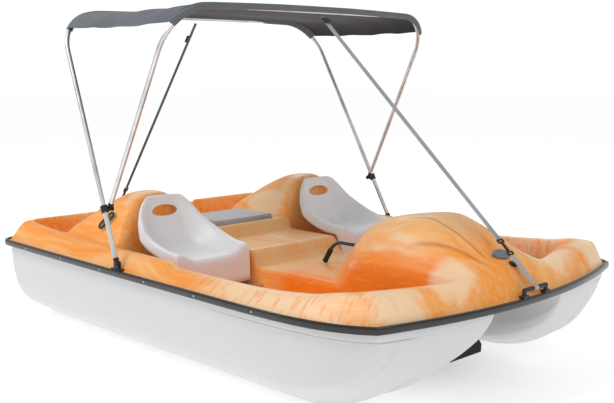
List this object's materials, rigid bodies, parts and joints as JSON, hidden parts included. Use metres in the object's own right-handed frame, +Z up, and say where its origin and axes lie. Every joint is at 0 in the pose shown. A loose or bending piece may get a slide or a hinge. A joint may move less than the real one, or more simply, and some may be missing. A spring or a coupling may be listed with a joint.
{
  "type": "pedal boat",
  "caption": "Catamaran pedal boat with bucket seats, paddle wheel drive, rudder steering and folding canopy.",
  "frame": {"origin": "middle of the boat's length and beam, at the level of the keels' flat bottoms", "axes": "+X towards the bow, +Y to port, +Z up"},
  "size_m": [2.312, 1.6334, 1.3731],
  "materials": {
    "hull_skin": "light grey moulded polyethylene",
    "deck_skin": "marbled orange moulded polyethylene",
    "rail": "dark grey extruded rail",
    "foam": "closed-cell foam",
    "black_plastic": "black moulded plastic",
    "steel": "stainless screws and pins",
    "badge": "smoked badge",
    "tub": "grey moulded tub",
    "lid": "grey moulded lid",
    "rail_alu": "extruded aluminium",
    "seat": "light grey moulded seat",
    "crank_steel": "stainless rod",
    "dark_tube": "black coated tube",
    "grip": "soft grip",
    "bow_alu": "bright anodised tube",
    "cloth": "slate woven polyester",
    "webbing": "grey webbing"
  },
  "bodies": {
    "boat": {"hull": "hull_skin", "deck": "deck_skin", "rub_rail": "rail", "starboard_float_block": "foam", "port_float_block": "foam", "drain_plugs": "black_plastic", "rail_screws": "steel", "bow_handle": "black_plastic", "stern_handle": "black_plastic", "handle_screws": "steel", "vent_plug": "black_plastic", "nose_badge": "badge", "starboard_oval_grip": "black_plastic", "port_oval_grip": "black_plastic", "cooler_tub": "tub", "cooler_hinge_pin": "steel", "seat_rails": "rail_alu", "inner_crank_bearings": "black_plastic", "outer_crank_bearings": "black_plastic", "bearing_screws": "steel", "steering_bushing": "black_plastic", "rudder_bushing": "black_plastic", "starboard_deck_hinge": "black_plastic", "port_deck_hinge": "black_plastic", "rear_strap_hook": "black_plastic", "rear_strap_eye": "black_plastic", "bow_tether": "webbing", "bow_tether_ring": "black_plastic"},
    "cooler_lid": {"cooler_lid": "lid"},
    "starboard_seat": {"starboard_seat": "seat"},
    "port_seat": {"port_seat": "seat"},
    "crank": {"crankshaft": "crank_steel", "paddle_wheel": "black_plastic"},
    "starboard_inner_pedal": {"starboard_inner_pedal": "black_plastic"},
    "starboard_outer_pedal": {"starboard_outer_pedal": "black_plastic"},
    "port_inner_pedal": {"port_inner_pedal": "black_plastic"},
    "port_outer_pedal": {"port_outer_pedal": "black_plastic"},
    "steering": {"steering_lever": "dark_tube", "lever_grip": "grip"},
    "steering_rod": {"steering_rod": "steel"},
    "rudder": {"rudder_stock": "steel", "rudder_blade": "black_plastic"},
    "main_frame": {"main_bow": "bow_alu", "main_bow_ends": "black_plastic", "starboard_knuckle": "black_plastic", "port_knuckle": "black_plastic", "canopy": "cloth", "rear_strap": "webbing", "rear_strap_adjuster": "black_plastic"},
    "front_frame": {"front_bow": "bow_alu", "front_bow_ends": "black_plastic"},
    "front_strap": {"front_strap": "webbing", "front_strap_buckle": "black_plastic", "front_strap_hook": "black_plastic"}
  },
  "joints": [
    {"name": "canopy_fold", "type": "hinge", "parent": "boat", "child": "main_frame", "pos_m": [-0.2, 0, 0.38], "axis": [0, 1, 0], "range_deg": [-57, 0], "deforming": ["canopy", "rear_strap"]},
    {"name": "front_bow_fold", "type": "hinge", "parent": "main_frame", "child": "front_frame", "pos_m": [-0.30065, 0, 0.58012], "axis": [0, 1, 0], "range_deg": [-49.2, 0]},
    {"name": "front_strap_swing", "type": "hinge", "parent": "front_frame", "child": "front_strap", "pos_m": [0.08622, 0, 1.35266], "axis": [0, 1, 0], "range_deg": [0, 68.4]},
    {"name": "crank_spin", "type": "hinge", "parent": "boat", "child": "crank", "pos_m": [0.7, 0, 0.28], "axis": [0, 1, 0], "continuous": true},
    {"name": "starboard_inner_pedal_spin", "type": "hinge", "parent": "crank", "child": "starboard_inner_pedal", "pos_m": [0.77209, 0, 0.33047], "axis": [0, 1, 0], "continuous": true},
    {"name": "starboard_outer_pedal_spin", "type": "hinge", "parent": "crank", "child": "starboard_outer_pedal", "pos_m": [0.62791, 0, 0.22953], "axis": [0, 1, 0], "continuous": true},
    {"name": "port_inner_pedal_spin", "type": "hinge", "parent": "crank", "child": "port_inner_pedal", "pos_m": [0.62791, 0, 0.22953], "axis": [0, 1, 0], "continuous": true},
    {"name": "port_outer_pedal_spin", "type": "hinge", "parent": "crank", "child": "port_outer_pedal", "pos_m": [0.77209, 0, 0.33047], "axis": [0, 1, 0], "continuous": true},
    {"name": "steer", "type": "hinge", "parent": "boat", "child": "steering", "pos_m": [0.318, 0, 0.416], "axis": [0, 0, 1], "range_deg": [-35, 35]},
    {"name": "rod_pivot", "type": "hinge", "parent": "steering", "child": "steering_rod", "pos_m": [0.318, -0.05, 0.284], "axis": [0, 0, 1], "range_deg": [-35.1, 35.1]},
    {"name": "rudder_turn", "type": "hinge", "parent": "boat", "child": "rudder", "pos_m": [-0.985, 0, 0.25], "axis": [0, 0, 1], "range_deg": [-35.1, 35.1]},
    {"name": "cooler_lid_open", "type": "hinge", "parent": "boat", "child": "cooler_lid", "pos_m": [-0.622, 0, 0.442], "axis": [0, -1, 0], "range_deg": [0, 95]},
    {"name": "starboard_seat_slide", "type": "slide", "parent": "boat", "child": "starboard_seat", "axis": [1, 0, 0], "range_m": [0, 0.09]},
    {"name": "port_seat_slide", "type": "slide", "parent": "boat", "child": "port_seat", "axis": [1, 0, 0], "range_m": [0, 0.09]}
  ],
  "couplings": [
    {"joint": "front_bow_fold", "follows": "canopy_fold", "ratio": 0.86},
    {"joint": "front_strap_swing", "follows": "canopy_fold", "ratio": -1.195},
    {"joint": "rod_pivot", "follows": "steer", "ratio": -1},
    {"joint": "rudder_turn", "follows": "steer", "ratio": 1}
  ]
}
